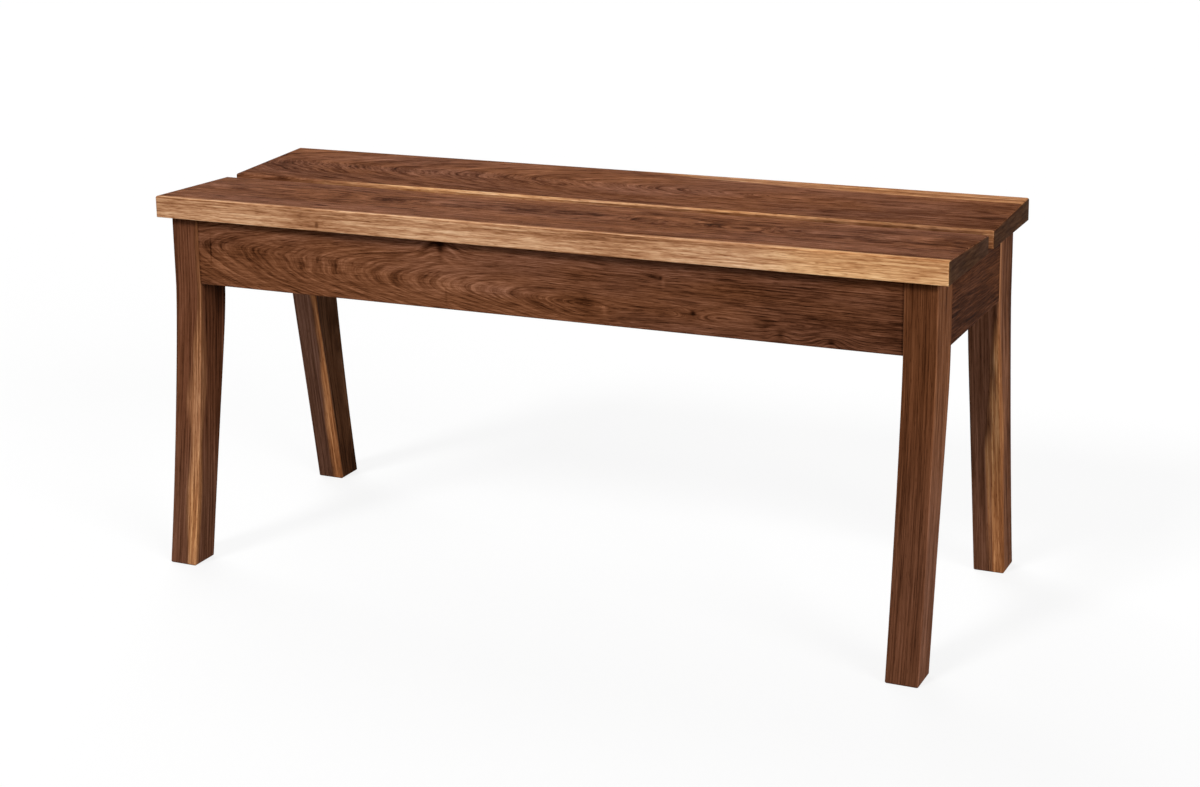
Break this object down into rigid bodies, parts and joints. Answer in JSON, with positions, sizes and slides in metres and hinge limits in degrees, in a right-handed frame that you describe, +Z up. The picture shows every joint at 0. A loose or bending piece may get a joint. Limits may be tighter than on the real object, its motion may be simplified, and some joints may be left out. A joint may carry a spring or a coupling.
{
  "type": "slatted bench",
  "caption": "Wooden bench with wide seat boards either side of a narrow gap, on an apron frame with tapered legs that sweep out to front and back.",
  "frame": {"origin": "on the floor, at the middle of the four feet under the centre of the seat", "axes": "+X along the bench to the right, +Y towards the back, +Z up"},
  "size_m": [0.96, 0.3972, 0.4499],
  "materials": {
    "walnut_slats": "oiled walnut, satin, with pale sapwood along some edges",
    "walnut_aprons": "oiled walnut, satin, figured",
    "walnut_legs": "oiled walnut, satin, straight grain",
    "inner_wood": "planed walnut, unfinished",
    "screw_steel": "bright zinc-plated steel"
  },
  "bodies": {
    "root": {"front_slat": "walnut_slats", "rear_slat": "walnut_slats", "front_apron": "walnut_aprons", "rear_apron": "walnut_aprons", "left_end_apron": "walnut_aprons", "right_end_apron": "walnut_aprons", "front_left_leg": "walnut_legs", "front_right_leg": "walnut_legs", "rear_left_leg": "walnut_legs", "rear_right_leg": "walnut_legs", "left_cross_rail": "inner_wood", "right_cross_rail": "inner_wood", "front_left_corner_block": "inner_wood", "front_right_corner_block": "inner_wood", "rear_left_corner_block": "inner_wood", "rear_right_corner_block": "inner_wood", "slat_screws": "screw_steel", "corner_block_screws": "screw_steel"}
  },
  "joints": []
}
